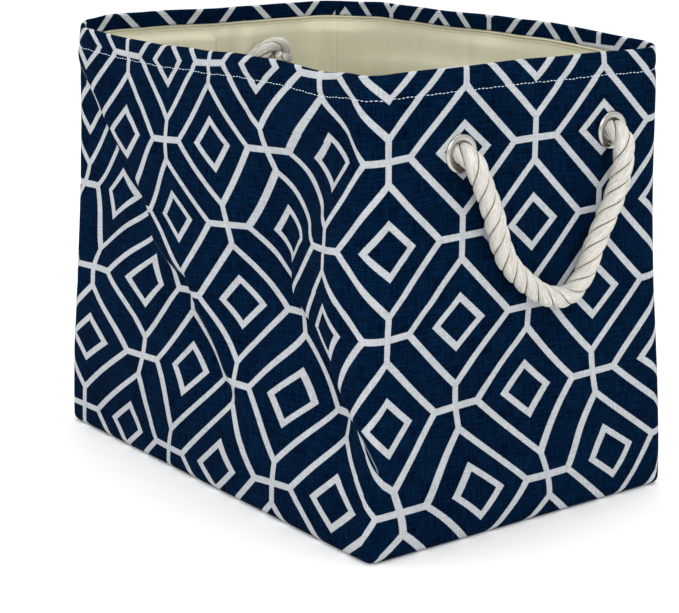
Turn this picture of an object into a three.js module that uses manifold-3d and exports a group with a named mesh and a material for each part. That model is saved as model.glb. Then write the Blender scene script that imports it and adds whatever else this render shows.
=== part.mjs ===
// A soft rectangular storage bin: a printed cloth wall turned over at the rim, a coated lining,
// a stiff board in the base and, at each end, a rope handle through two metal grommets.
// Millimetres, +Z up. The origin is the middle of the underside. X runs along the long side,
// and the two handles hang at the +X ("right") and -X ("left") ends.
import * as THREE from 'three';
import { mergeVertices } from 'three/addons/utils/BufferGeometryUtils.js';
import Module from 'manifold-3d';

// ---------- driving dimensions ----------
const HEIGHT = 381;              // floor to the top of the rim (15 in)
const HALF_LENGTH = 220;         // centre to an end wall, at the grommets
const HALF_WIDTH = 151;          // centre to a long wall, at the grommets
const CORNER_RADIUS = 18;        // upright corners at the rim, in plan
const FOOT_RADIUS = 10;          // the same corners where the base board holds them square
const FOOT_TO = 240;             // height at which a corner has its full radius
const FLARE = 7;                 // how much wider the soft wall stands at the floor
const FLARE_TO = 300;            // no spread above this height
const BOTTOM_RADIUS = 9;         // roll of the cloth under the bottom edge
const CLOTH = 1.2;               // printed cloth
const LINING = 1.0;              // coated lining
const GAP = 0.4;                 // room left between neighbouring layers
const HEM_DEPTH = 14;            // cloth turned to the inside at the rim
const BOARD = 3;                 // stiffener in the base
const WALL_ROWS = 9;             // rings of points up the wall
const STRAIGHT_TOP = 26;         // the wall is upright this far below the rim
const LATHE_RADIUS = 100;        // of the ring that a section is spun on before it is laid out

const STITCH_DROP = 19;          // rim to the line of top-stitching
const THREAD = 0.9;

const GROMMET_HEIGHT = 313;
const HANDLE_HALF = 79;          // half the distance between a handle's two grommets
const RIGHT_MIDDLE = 13;         // the right handle hangs a little to the back of the middle
const LEFT_MIDDLE = -21;         // and the left one a little to the front
const FLANGE_RADIUS = 15.5;
const BARREL_OUTER = 10.2;
const BARREL_INNER = 9.4;
const CLOTH_HOLE = 10.7;
const GROMMET_SIDES = 20;

const ROPE_RADIUS = 8.8;         // laid cotton rope, 17.6 mm
const TURN_RADIUS = 15;          // wall face to the axis the handle swings about
const KNOT = { deep: 18, wide: 25, tall: 21 };   // half sizes of the knot inside

// Rope of a handle as it hangs, [outwards, along the wall, up] from the middle of the swing axis.
const HANDLE_ROUTE = [
  [0, -79, 0], [1, -74.5, -14], [0.5, -66.5, -30], [0, -58, -49], [-1, -51, -68],
  [-2, -41, -88], [-3, -21, -108], [-3, 1, -122.5], [-3, 25, -126], [-3, 41, -112.5],
  [-2, 50, -92], [-1, 59.5, -72.5], [0, 70, -51], [1, 77, -26], [0, 79, 0],
];

// How far the rim sags below its full height, anticlockwise from above: [side, along, drop].
const RIM_SAG = [
  ['front', -196, 13], ['front', -140, 13.6], ['front', -80, 12.6], ['front', -17, 9.4],
  ['front', 54, 5.2], ['front', 100, 3.8], ['front', 151, 5], ['front', 196, 1.4],
  ['right', -126, 0], ['right', -18, 1.4], ['right', 55, 3.4], ['right', 128, 5.4],
  ['back', 184, 3.6], ['back', 85, 2], ['back', 32, 3.6], ['back', -81, 8],
  ['back', -142, 9.6], ['back', -198, 13.5], ['left', 110, 13.4], ['left', 64, 12.2],
  ['left', 19, 11.2], ['left', -68, 7.7], ['left', -109, 6.8], ['left', -131, 9],
];

// Soft swells (out > 0) and hollows (out < 0) of the cloth: middle, half size, tilt in degrees.
const SWELLS = [
  { side: 'front', along: -62, up: 286, halfLong: 78, halfWide: 46, tilt: -18, out: 8 },
  { side: 'front', along: 118, up: 300, halfLong: 60, halfWide: 34, tilt: 52, out: -9 },
  { side: 'front', along: 66, up: 196, halfLong: 84, halfWide: 44, tilt: 60, out: -15 },
  { side: 'front', along: 150, up: 122, halfLong: 78, halfWide: 34, tilt: -50, out: -14 },
  { side: 'front', along: 186, up: 222, halfLong: 62, halfWide: 26, tilt: 84, out: 9 },
  { side: 'front', along: 0, up: 56, halfLong: 100, halfWide: 36, tilt: -4, out: 4 },
  { side: 'front', along: -190, up: 180, halfLong: 60, halfWide: 30, tilt: 70, out: -6 },
  { side: 'right', along: 6, up: 128, halfLong: 96, halfWide: 40, tilt: 8, out: -4 },
  { side: 'right', along: 60, up: 42, halfLong: 80, halfWide: 28, tilt: 0, out: 1 },
  { side: 'back', along: -70, up: 220, halfLong: 110, halfWide: 50, tilt: 32, out: -8 },
  { side: 'back', along: 96, up: 130, halfLong: 90, halfWide: 44, tilt: -40, out: 4 },
  { side: 'left', along: 20, up: 150, halfLong: 90, halfWide: 46, tilt: -20, out: -5 },
];

// ---------- plan of the wall ----------
const SIDES = {
  front: { angle: -90, halfSpan: HALF_LENGTH, distance: HALF_WIDTH, segments: 14 },
  right: { angle: 0, halfSpan: HALF_WIDTH, distance: HALF_LENGTH, segments: 10 },
  back: { angle: 90, halfSpan: HALF_LENGTH, distance: HALF_WIDTH, segments: 14 },
  left: { angle: 180, halfSpan: HALF_WIDTH, distance: HALF_LENGTH, segments: 10 },
};
const SIDE_NAMES = Object.keys(SIDES);
const CORNER_SEGMENTS = 4;
const CORNER_ARC = CORNER_RADIUS * Math.PI / 2;

// Distance round the wall from the start of a side's straight part. "along" is x on the long
// sides and y on the ends, and "run" is the same place measured anticlockwise from above.
const sideRun = (name, along) => (name === 'back' || name === 'left' ? -along : along);
const straight = (side) => 2 * (side.halfSpan - CORNER_RADIUS);
const sideStart = (name) => {
  const before = SIDE_NAMES.slice(0, SIDE_NAMES.indexOf(name));
  return before.reduce((sum, other) => sum + straight(SIDES[other]) + CORNER_ARC, 0);
};
const PERIMETER = SIDE_NAMES.reduce((sum, name) => sum + straight(SIDES[name]) + CORNER_ARC, 0);

// Stations anticlockwise from above. "share" runs from -1 to 1 along a side's straight part,
// stays at 1 round the corner after it, and "out" is the way that the wall faces there.
function planStations() {
  const stations = [];
  for (const name of SIDE_NAMES) {
    const side = SIDES[name];
    const out = new THREE.Vector2(1, 0).rotateAround(new THREE.Vector2(), side.angle * Math.PI / 180);
    const half = side.halfSpan - CORNER_RADIUS;
    for (let i = 0; i < side.segments; i += 1) {
      const share = 2 * i / side.segments - 1;
      stations.push({ name, share, out, run: half * share, distance: sideStart(name) + half * (1 + share) });
    }
    for (let i = 0; i < CORNER_SEGMENTS; i += 1) {
      const turn = i / CORNER_SEGMENTS;
      const normal = out.clone().rotateAround(new THREE.Vector2(), turn * Math.PI / 2);
      const past = turn * CORNER_ARC;
      stations.push({
        name, share: 1, out: normal, run: half + past, distance: sideStart(name) + 2 * half + past,
      });
    }
  }
  return stations;
}
const STATIONS = planStations();

// ---------- shape of the soft wall ----------
const SAG_STOPS = RIM_SAG.map(([name, along, drop]) => {
  const half = SIDES[name].halfSpan - CORNER_RADIUS;
  return { distance: sideStart(name) + sideRun(name, along) + half, drop };
});

function rimSag(distance) {
  const count = SAG_STOPS.length;
  for (let i = 0; i < count; i += 1) {
    const from = SAG_STOPS[i];
    const to = SAG_STOPS[(i + 1) % count];
    const span = THREE.MathUtils.euclideanModulo(to.distance - from.distance, PERIMETER);
    const past = THREE.MathUtils.euclideanModulo(distance - from.distance, PERIMETER);
    if (past <= span) {
      return THREE.MathUtils.lerp(from.drop, to.drop, THREE.MathUtils.smoothstep(past, 0, span));
    }
  }
  return 0;
}

function swell(station, up) {
  let out = 0;
  for (const s of SWELLS) {
    if (s.side !== station.name) continue;
    const offset = new THREE.Vector2(station.run - sideRun(s.side, s.along), up - s.up);
    const tilt = (s.side === 'back' || s.side === 'left' ? -s.tilt : s.tilt) * Math.PI / 180;
    offset.rotateAround(new THREE.Vector2(), -tilt);
    const reach = Math.hypot(offset.x / s.halfLong, offset.y / s.halfWide);
    out += s.out * Math.exp(-reach * reach);
  }
  const half = SIDES[station.name].halfSpan - CORNER_RADIUS;
  const fromCorner = Math.min(half + station.run, half - station.run);
  const besideCorner = THREE.MathUtils.smoothstep(fromCorner, -10, 40);
  const belowRim = 1 - THREE.MathUtils.smoothstep(up, HEIGHT - 90, HEIGHT - STRAIGHT_TOP);
  const aboveFloor = THREE.MathUtils.smoothstep(up, 0, 30);
  return out * besideCorner * belowRim * aboveFloor;
}

// The plan is a rounded rectangle that is larger, and squarer at its corners, near the floor.
function planPoint(station, up) {
  const side = SIDES[station.name];
  const flare = FLARE * (1 - THREE.MathUtils.smoothstep(up, 0, FLARE_TO));
  const radius = THREE.MathUtils.lerp(FOOT_RADIUS, CORNER_RADIUS, THREE.MathUtils.smoothstep(up, 0, FOOT_TO));
  const along = station.share * (side.halfSpan + flare - radius);
  return new THREE.Vector2(side.distance + flare - radius, along)
    .rotateAround(new THREE.Vector2(), side.angle * Math.PI / 180)
    .addScaledVector(station.out, radius);
}

function wallPoint(station, inset, up) {
  const point = planPoint(station, up).addScaledVector(station.out, swell(station, up) - inset);
  return [point.x, point.y, up * (1 - rimSag(station.distance) / HEIGHT)];
}

// ---------- helpers ----------
const wasm = await Module();
wasm.setup();

function toManifold(geometry) {
  const bare = geometry.clone();
  bare.deleteAttribute('normal');
  bare.deleteAttribute('uv');
  const merged = mergeVertices(bare, 1e-4);
  const triVerts = new Uint32Array(merged.index.array);
  const vertProperties = new Float32Array(merged.attributes.position.array);
  return new wasm.Manifold(new wasm.Mesh({ numProp: 3, vertProperties, triVerts }));
}

function fromManifold(solid) {
  const mesh = solid.getMesh();
  const geometry = new THREE.BufferGeometry();
  geometry.setAttribute('position', new THREE.BufferAttribute(mesh.vertProperties, 3));
  geometry.setIndex(new THREE.BufferAttribute(mesh.triVerts, 1));
  geometry.computeVertexNormals();
  return geometry;
}

// Points of an arc in [inset, up], by angle in degrees from "out" (0) towards "up" (90).
function arc(inset, up, radius, from, to, steps) {
  return Array.from({ length: steps + 1 }, (_, i) => {
    const angle = THREE.MathUtils.lerp(from, to, i / steps) * Math.PI / 180;
    return [inset - radius * Math.cos(angle), up + radius * Math.sin(angle)];
  });
}

// Heights of the rings of points that every layer of the wall shares.
const LEVELS = Array.from({ length: WALL_ROWS }, (_, i) => (
  THREE.MathUtils.lerp(BOTTOM_RADIUS, HEIGHT - STRAIGHT_TOP, (i + 1) / WALL_ROWS)
));

// A closed section [inset, up] carried right round the wall: a lathe ring laid on the plan.
// Where the section runs down, its squares are split the other way, so that neighbouring
// layers have the same creases and keep their gap.
function sweepRound(section) {
  const profile = [...section, section[0]].map(([inset, up]) => new THREE.Vector2(LATHE_RADIUS - inset, up));
  const count = profile.length;
  const geometry = new THREE.LatheGeometry(profile, STATIONS.length);
  const position = geometry.attributes.position;
  for (let i = 0; i < position.count; i += 1) {
    const station = STATIONS[Math.floor(i / count) % STATIONS.length];
    const { x, y } = profile[i % count];
    position.setXYZ(i, ...wallPoint(station, LATHE_RADIUS - x, y));
  }
  const index = [];
  for (let i = 0; i < STATIONS.length; i += 1) {
    for (let j = 0; j + 1 < count; j += 1) {
      const [a, b, c, d] = [i * count + j, (i + 1) * count + j, (i + 1) * count + j + 1, i * count + j + 1];
      index.push(...(profile[j + 1].y < profile[j].y ? [a, b, c, a, c, d] : [a, b, d, c, d, b]));
    }
  }
  geometry.setIndex(index);
  geometry.computeVertexNormals();
  return geometry;
}

// A flat plate with the wall's plan, pulled in by an inset.
function basePlate(inset, from, thickness) {
  const x = HALF_LENGTH + FLARE - inset;
  const y = HALF_WIDTH + FLARE - inset;
  const r = Math.max(FOOT_RADIUS - inset, 0.5);
  const shape = new THREE.Shape();
  shape.absarc(x - r, y - r, r, 0, Math.PI / 2);
  shape.absarc(r - x, y - r, r, Math.PI / 2, Math.PI);
  shape.absarc(r - x, r - y, r, Math.PI, Math.PI * 1.5);
  shape.absarc(x - r, r - y, r, Math.PI * 1.5, Math.PI * 2);
  const options = { depth: thickness, bevelEnabled: false, curveSegments: 5 };
  return new THREE.ExtrudeGeometry(shape, options).translate(0, 0, from);
}

function circle(radius, sides) {
  const points = Array.from({ length: sides }, (_, i) => {
    const angle = (i + 0.5) * 2 * Math.PI / sides;
    return new THREE.Vector2(radius * Math.cos(angle), radius * Math.sin(angle));
  });
  return new THREE.Shape(points);
}

// ---------- the handles' grommets ----------
// The left end is made as the right end is, turned half a turn about the upright axis.
const ENDS = [
  { name: 'right', sign: 1, middle: RIGHT_MIDDLE },
  { name: 'left', sign: -1, middle: LEFT_MIDDLE },
];
const GROMMETS = ENDS.flatMap(({ name, sign, middle }) => [
  { name: `${name}_${sign > 0 ? 'front' : 'back'}`, sign, y: middle - sign * HANDLE_HALF },
  { name: `${name}_${sign > 0 ? 'back' : 'front'}`, sign, y: middle + sign * HANDLE_HALF },
]);

// Lays a shape made about +Z, base at the wall face and +Z outwards, onto a grommet.
function placeAt(geometry, grommet) {
  geometry.rotateY(grommet.sign * Math.PI / 2);
  return geometry.translate(grommet.sign * HALF_LENGTH, grommet.y, GROMMET_HEIGHT);
}

function spin(profile, segments) {
  const points = [...profile, profile[0]].map(([radius, out]) => new THREE.Vector2(radius, out));
  return new THREE.LatheGeometry(points, segments).rotateX(Math.PI / 2);
}

function pierced(geometry) {
  let solid = toManifold(geometry);
  for (const grommet of GROMMETS) {
    const drill = new THREE.CylinderGeometry(CLOTH_HOLE, CLOTH_HOLE, 24, 20).rotateX(Math.PI / 2);
    solid = solid.subtract(toManifold(placeAt(drill, grommet)));
  }
  return fromManifold(solid);
}

// ---------- cloth, lining and base ----------
const WALL = CLOTH + GAP + LINING;               // both layers and the room between them
const INSIDE_HEM = WALL + GAP;                   // outer face of the turned-in hem

function outerWall() {
  const roll = (INSIDE_HEM + CLOTH) / 2;         // half the thickness of the rim
  const pocket = roll - CLOTH;
  const top = HEIGHT - roll;
  const section = [
    ...arc(BOTTOM_RADIUS, BOTTOM_RADIUS, BOTTOM_RADIUS, -90, 0, 3),
    ...LEVELS.map((up) => [0, up]),
    ...arc(roll, top, roll, 0, 180, 4),
    [2 * roll, HEIGHT - HEM_DEPTH],
    [INSIDE_HEM, HEIGHT - HEM_DEPTH],
    ...arc(roll, top, pocket, 180, 0, 2),
    ...[...LEVELS].reverse().map((up) => [CLOTH, up]),
    ...arc(BOTTOM_RADIUS, BOTTOM_RADIUS, BOTTOM_RADIUS - CLOTH, 0, -90, 3),
  ];
  return pierced(sweepRound(section));
}

function liningWall() {
  const outer = BOTTOM_RADIUS - CLOTH - GAP;     // the lining's roll inside the cloth's
  const top = HEIGHT - (INSIDE_HEM + CLOTH) / 2 - GAP;
  const section = [
    ...arc(BOTTOM_RADIUS, BOTTOM_RADIUS, outer, -30, 0, 1),
    ...LEVELS.map((up) => [CLOTH + GAP, up]),
    [CLOTH + GAP, top],
    [WALL, top],
    ...[...LEVELS].reverse().map((up) => [WALL, up]),
    ...arc(BOTTOM_RADIUS, BOTTOM_RADIUS, outer - LINING, 0, -30, 1),
  ];
  return pierced(sweepRound(section));
}

function topStitch() {
  const up = HEIGHT - STITCH_DROP;
  const half = THREAD / 2;
  const middle = -GAP - half;
  return sweepRound([[middle + half, up], [middle, up - half], [middle - half, up], [middle, up + half]]);
}

const boardFrom = CLOTH + GAP;
const liningFrom = boardFrom + BOARD + GAP;

// ---------- grommets, rope and knots ----------
function eyelet() {
  const behind = -(WALL + 2 * GAP + 1);          // past the washer, inside the bin
  return spin([
    [BARREL_INNER, 1.4], [BARREL_INNER, behind - 1], [BARREL_OUTER + 2, behind - 1],
    [BARREL_OUTER + 1.4, behind], [BARREL_OUTER, behind], [BARREL_OUTER, GAP],
    [FLANGE_RADIUS, GAP], [FLANGE_RADIUS - 0.7, 1.3], [(FLANGE_RADIUS + BARREL_INNER) / 2, 2.3],
  ], GROMMET_SIDES);
}

function washer() {
  const face = -(WALL + GAP);
  const hole = BARREL_OUTER + GAP;
  const section = [[hole, face], [hole, face - 1], [FLANGE_RADIUS, face - 1], [FLANGE_RADIUS, face]];
  return spin(section, GROMMET_SIDES);
}

const KNOT_FACE = WALL + 3 * GAP + 2.6;          // wall face to the nearest point of the knot

function ropeThroat() {
  const outer = TURN_RADIUS - ROPE_RADIUS - GAP;
  const length = outer + KNOT_FACE - GAP;
  const stub = new THREE.CylinderGeometry(ROPE_RADIUS, ROPE_RADIUS, length, 16);
  return stub.rotateX(Math.PI / 2).translate(0, 0, outer - length / 2);
}

function ropeKnot() {
  const ball = new THREE.SphereGeometry(1, 12, 8).rotateX(Math.PI / 2);
  return ball.scale(KNOT.tall, KNOT.wide, KNOT.deep).translate(0, 0, -KNOT_FACE - KNOT.deep);
}

// The free rope between the two grommets, with a round end on the swing axis at each.
function handleRope() {
  const points = HANDLE_ROUTE.map(([out, along, up]) => new THREE.Vector3(out, along, up));
  const path = new THREE.CatmullRomCurve3(points);
  const options = { steps: 28, extrudePath: path, bevelEnabled: false };
  let rope = toManifold(new THREE.ExtrudeGeometry(circle(ROPE_RADIUS, 10), options));
  for (const end of [points[0], points[points.length - 1]]) {
    const ball = new THREE.SphereGeometry(ROPE_RADIUS, 12, 8).translate(end.x, end.y, end.z);
    rope = rope.add(toManifold(ball));
  }
  return fromManifold(rope);
}

// ---------- materials and assembly ----------
const finish = (color, roughness, metalness = 0) => ({ color, roughness, metalness });
const PRINTED_CLOTH = finish(0x0b2340, 0.9);
const COATED_LINING = finish(0xc9c2ae, 0.6);
const CARD = finish(0x9b8566, 0.95);
const STEEL = finish(0xc8c9cb, 0.25, 1);
const COTTON = finish(0xe6e0d2, 0.95);
const THREAD_WHITE = finish(0xe8e8e4, 0.8);

const bin = new THREE.Group();

function addMesh(name, geometry, look) {
  const mesh = new THREE.Mesh(geometry, new THREE.MeshStandardMaterial(look));
  mesh.name = name;
  bin.add(mesh);
  return mesh;
}

addMesh('outer_wall', outerWall(), PRINTED_CLOTH);
addMesh('outer_base', basePlate(BOTTOM_RADIUS + GAP, 0, CLOTH), PRINTED_CLOTH);
addMesh('base_board', basePlate(BOTTOM_RADIUS + 2 * GAP, boardFrom, BOARD), CARD);
addMesh('lining_wall', liningWall(), COATED_LINING);
addMesh('lining_base', basePlate(WALL + 5 * GAP, liningFrom, LINING), COATED_LINING);
addMesh('hem_topstitch', topStitch(), THREAD_WHITE);

for (const grommet of GROMMETS) {
  addMesh(`eyelet_${grommet.name}`, placeAt(eyelet(), grommet), STEEL);
  addMesh(`washer_${grommet.name}`, placeAt(washer(), grommet), STEEL);
  addMesh(`rope_throat_${grommet.name}`, placeAt(ropeThroat(), grommet), COTTON);
  addMesh(`rope_knot_${grommet.name}`, placeAt(ropeKnot(), grommet), COTTON);
}

for (const { name, sign, middle } of ENDS) {
  const rope = addMesh(`handle_rope_${name}`, handleRope(), COTTON);
  rope.position.set(sign * (HALF_LENGTH + TURN_RADIUS), middle, GROMMET_HEIGHT);
  rope.rotation.z = sign > 0 ? 0 : Math.PI;
}

export default bin;
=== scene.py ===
"""A soft storage bin in printed cloth, with a coated lining and two laid-rope handles.

Lengths are in millimetres until a mesh is made; every Blender object is in metres.
"""
import math

import bpy
import numpy as np
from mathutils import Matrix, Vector


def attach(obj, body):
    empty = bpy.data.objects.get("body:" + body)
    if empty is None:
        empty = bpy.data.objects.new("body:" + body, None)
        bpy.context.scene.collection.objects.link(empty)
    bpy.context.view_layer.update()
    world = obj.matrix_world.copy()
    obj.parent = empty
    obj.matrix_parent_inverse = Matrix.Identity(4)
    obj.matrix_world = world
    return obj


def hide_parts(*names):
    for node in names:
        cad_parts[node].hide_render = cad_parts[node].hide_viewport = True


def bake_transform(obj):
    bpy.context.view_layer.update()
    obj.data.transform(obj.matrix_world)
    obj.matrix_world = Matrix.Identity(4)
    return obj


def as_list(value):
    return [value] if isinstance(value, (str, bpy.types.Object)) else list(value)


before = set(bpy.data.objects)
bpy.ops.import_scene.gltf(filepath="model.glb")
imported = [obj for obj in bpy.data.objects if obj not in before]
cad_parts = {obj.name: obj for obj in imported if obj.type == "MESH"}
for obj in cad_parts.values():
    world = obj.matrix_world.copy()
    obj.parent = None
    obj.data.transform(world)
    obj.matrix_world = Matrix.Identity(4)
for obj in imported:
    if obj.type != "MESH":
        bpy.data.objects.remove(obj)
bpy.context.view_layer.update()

MM = 0.001
SEED = 11

# ---------- driving dimensions, the same as the frame's ----------
HEIGHT = 381.0
HALF_LENGTH = 220.0
HALF_WIDTH = 151.0
CORNER_RADIUS, FOOT_RADIUS, FOOT_TO = 18.0, 10.0, 240.0
CORNER_ARC = CORNER_RADIUS * math.pi / 2
FLARE, FLARE_TO = 7.0, 300.0
CLOTH, LINING, GAP = 1.2, 1.0, 0.4
WALL = CLOTH + GAP + LINING
LINING_FACE = WALL + 0.25            # outer face of the cloth to the lining's visible face
ROLL = (WALL + GAP + CLOTH) / 2      # half the thickness of the rim
BOTTOM_ROLL = 7.0
HEM_DEPTH = 14.0                     # cloth turned to the inside at the rim
STITCH_DROP = 19.0                   # rim to the line of top-stitching
LINING_TOP = HEIGHT - 4              # the lining ends inside the hem

GROMMET_HEIGHT = 313.0
HANDLE_HALF = 79.0                   # half the distance between a handle's two grommets
ENDS = [("right", 1, 13.0), ("left", -1, -21.0)]      # name, way out, middle of its handle
FLANGE_RADIUS = 15.5
BARREL_RADIUS = 9.4                  # inside of an eyelet
CLOTH_HOLE = 11.5                    # radius cut out of the cloth
TURN_RADIUS = 15.0                   # wall face to the axis the handle swings about
ROPE_RADIUS = 8.8
ROPE_LAY = 48.0                      # length of rope in one turn of a strand
KNOT_START = 5.0                     # wall face to where the knot's rope begins
KNOT_SPREAD = 1.12                   # how much wider than its route a knot is drawn

# How each knot lies: turned by degrees about its grommet, and moved (along, up).
KNOT_LIES = {"right_front": (20, (0, 0)), "right_back": (-35, (0, 0)),
             "left_back": (150, (-8, 5)), "left_front": (70, (0, 0))}

# Rope of a handle as it hangs, [outwards, along the wall, up] from the middle of the swing axis.
HANDLE_ROUTE = [
    (0, -79, 0), (1, -74.5, -14), (0.5, -66.5, -30), (0, -58, -49), (-1, -51, -68),
    (-2, -41, -88), (-3, -21, -108), (-3, 1, -122.5), (-3, 25, -126), (-3, 41, -112.5),
    (-2, 50, -92), (-1, 59.5, -72.5), (0, 70, -51), (1, 77, -26), (0, 79, 0),
]

# How far the rim sags below its full height, anticlockwise from above: (side, along, drop).
RIM_SAG = [
    ("front", -196, 13), ("front", -140, 13.6), ("front", -80, 12.6), ("front", -17, 9.4),
    ("front", 54, 5.2), ("front", 100, 3.8), ("front", 151, 5), ("front", 196, 1.4),
    ("right", -126, 0), ("right", -18, 1.4), ("right", 55, 3.4), ("right", 128, 5.4),
    ("back", 184, 3.6), ("back", 85, 2), ("back", 32, 3.6), ("back", -81, 8),
    ("back", -142, 9.6), ("back", -198, 13.5), ("left", 110, 13.4), ("left", 64, 12.2),
    ("left", 19, 11.2), ("left", -68, 7.7), ("left", -109, 6.8), ("left", -131, 9),
]

# Soft swells (out > 0) and hollows (out < 0): (side, along, up, half long, half wide, tilt, out).
SWELLS = [
    ("front", -62, 286, 78, 46, -18, 8), ("front", 118, 300, 60, 34, 52, -9),
    ("front", 66, 196, 84, 44, 60, -15), ("front", 150, 122, 78, 34, -50, -14),
    ("front", 186, 222, 62, 26, 84, 9), ("front", 0, 56, 100, 36, -4, 4),
    ("front", -190, 180, 60, 30, 70, -6), ("right", 6, 128, 96, 40, 8, -4),
    ("right", 60, 42, 80, 28, 0, 1), ("back", -70, 220, 110, 50, 32, -8),
    ("back", 96, 130, 90, 44, -40, 4), ("left", 20, 150, 90, 46, -20, -5),
]

# Corners where the rim is slack: (side, along, how far the rounding reaches, spread, from height).
SLACK_CORNERS = [("left", 149, 40, 60, 190), ("left", -149, 18, 34, 330), ("right", 149, 11, 28, 335)]

# Folds of the cloth. The cloth on the upper right of the route stands in front of the cloth on
# its lower left by twice the rise. Places are (distance round the wall from the front right
# corner, height); "edge" is how abrupt the fold is, "reach" how far the cloth takes to settle.
FOLDS = [
    dict(rise=6.0, edge=6.4, reach=34.0, sharp=True, route=[
        (-446, 366), (-423, 349), (-398, 326), (-370, 297), (-322, 254), (-306, 230), (-300, 206),
        (-278, 190), (-250, 180), (-235, 156), (-216, 133), (-198, 110), (-176, 90), (-150, 70)]),
    dict(rise=5.6, edge=6.0, reach=38.0, sharp=True, route=[
        (-122, 222), (-108, 194), (-84, 176), (-64, 154), (-46, 128), (-26, 112), (-10, 100),
        (4, 78), (12, 48)]),
    dict(rise=3.4, edge=9.0, reach=40.0, sharp=False, route=[
        (-46, 362), (-24, 338), (-18, 316), (-36, 300), (-58, 274), (-76, 256), (-100, 240),
        (-114, 218), (-110, 190), (-96, 170)]),
]

# ---------- camera ----------
CAMERA = dict(azimuth=53.043, elevation=14.059, distance=1933.51, target=(-20.561, -0.683, 182.131),
              focal_in_widths=2201.14 / 679, shift_y=-0.0884)
SENSOR = 36.0


def aimed(name, data, place, target):
    """A camera or a light that looks from its place at its target, both in metres."""
    obj = bpy.data.objects.new(name, data)
    bpy.context.scene.collection.objects.link(obj)
    obj.location = place
    obj.rotation_mode = "QUATERNION"
    obj.rotation_quaternion = (Vector(target) - Vector(place)).to_track_quat("-Z", "Y")
    return obj


def make_camera():
    data = bpy.data.cameras.new("camera")
    data.sensor_width = SENSOR
    data.lens = CAMERA["focal_in_widths"] * SENSOR
    data.shift_y = CAMERA["shift_y"]
    data.clip_start, data.clip_end = 0.05, 50
    turn, tilt = math.radians(CAMERA["azimuth"]), math.radians(CAMERA["elevation"])
    back = Vector((math.sin(turn) * math.cos(tilt), -math.cos(turn) * math.cos(tilt), math.sin(tilt)))
    target = Vector(CAMERA["target"]) * MM
    place = target + back * CAMERA["distance"] * MM
    bpy.context.scene.camera = aimed("camera", data, place, target)


# ---------- small maths ----------
def smoothstep(x, low, high):
    t = np.clip((x - low) / (high - low), 0, 1)
    return t * t * (3 - 2 * t)


def unit(v):
    return v / np.maximum(np.linalg.norm(v, axis=-1, keepdims=True), 1e-12)


def run_along(path):
    """Distance along a path to each of its points."""
    return np.concatenate([[0], np.cumsum(np.linalg.norm(np.diff(path, axis=0), axis=1))])


def catmull(points, step):
    """Points about step apart on a smooth curve through the given ones."""
    p = np.asarray(points, float)
    p = np.vstack([2 * p[0] - p[1], p, 2 * p[-1] - p[-2]])
    fine = []
    for a, b, c, d in zip(p[:-3], p[1:-2], p[2:-1], p[3:]):
        spans = [max(np.linalg.norm(v - u), 1e-6) ** 0.5 for u, v in ((a, b), (b, c), (c, d))]
        knots = np.cumsum([0.0, *spans])
        t = np.linspace(knots[1], knots[2], 24, endpoint=False)[:, None]
        mix = lambda u, v, i, j: ((knots[j] - t) * u + (t - knots[i]) * v) / (knots[j] - knots[i])
        ab, bc, cd = mix(a, b, 0, 1), mix(b, c, 1, 2), mix(c, d, 2, 3)
        fine.append(mix(mix(ab, bc, 0, 2), mix(bc, cd, 1, 3), 1, 2))
    fine = np.vstack([*fine, p[-2:-1]])
    run = run_along(fine)
    even = np.linspace(0, run[-1], max(2, int(round(run[-1] / step)) + 1))
    return np.column_stack([np.interp(even, run, fine[:, k]) for k in range(3)])


# ---------- plan of the wall ----------
SIDES = {
    "front": (-90, HALF_LENGTH, HALF_WIDTH), "right": (0, HALF_WIDTH, HALF_LENGTH),
    "back": (90, HALF_LENGTH, HALF_WIDTH), "left": (180, HALF_WIDTH, HALF_LENGTH),
}
STARTS = {}
PERIMETER = 0.0
for side, (_, half_span, _) in SIDES.items():
    STARTS[side] = PERIMETER
    PERIMETER += 2 * (half_span - CORNER_RADIUS) + CORNER_ARC
# Middle of the front right corner, where distances round the wall are measured from.
FRONT_CORNER = STARTS["right"] - CORNER_ARC / 2


def run_at(side, along):
    """Distance round the wall, from the front right corner, of a place on a side."""
    run = -along if side in ("back", "left") else along
    return STARTS[side] + SIDES[side][1] - CORNER_RADIUS + run - FRONT_CORNER


def wrapped(run):
    """The same place as a distance from -half to +half of the perimeter."""
    return (run + PERIMETER / 2) % PERIMETER - PERIMETER / 2


def sides_at(run):
    """Which side each distance round the wall is on, and how far it is past that side's middle."""
    distance = (np.asarray(run, float) + FRONT_CORNER) % PERIMETER
    starts = np.array(list(STARTS.values()))
    index = np.searchsorted(starts, distance, side="right") - 1
    names = np.array(list(SIDES))[index]
    half = np.array([SIDES[name][1] - CORNER_RADIUS for name in SIDES])[index]
    return names, distance - starts[index] - half


def taut_plan(run, up):
    """Plan point and outward direction at distances round the wall and heights up it. The plan is
    a rounded rectangle that is larger, and squarer at its corners, near the floor."""
    names, place = sides_at(run)
    flare = FLARE * (1 - smoothstep(up, 0, FLARE_TO))
    radius = FOOT_RADIUS + (CORNER_RADIUS - FOOT_RADIUS) * smoothstep(up, 0, FOOT_TO)
    point, out = np.zeros((len(place), 2)), np.zeros((len(place), 2))
    for side, (angle, half_span, away) in SIDES.items():
        half = half_span - CORNER_RADIUS
        turn = math.radians(angle) + np.maximum(place - half, 0) / CORNER_RADIUS
        normal = np.column_stack([np.cos(turn), np.sin(turn)])
        o = np.array([math.cos(math.radians(angle)), math.sin(math.radians(angle))])
        a = np.array([-o[1], o[0]])
        along = np.minimum(place, half) / half * (half_span + flare - radius)
        centre = along[:, None] * a + (away + flare - radius)[:, None] * o
        here = names == side
        point[here] = (centre + radius[:, None] * normal)[here]
        out[here] = normal[here]
    return point, out


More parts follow.
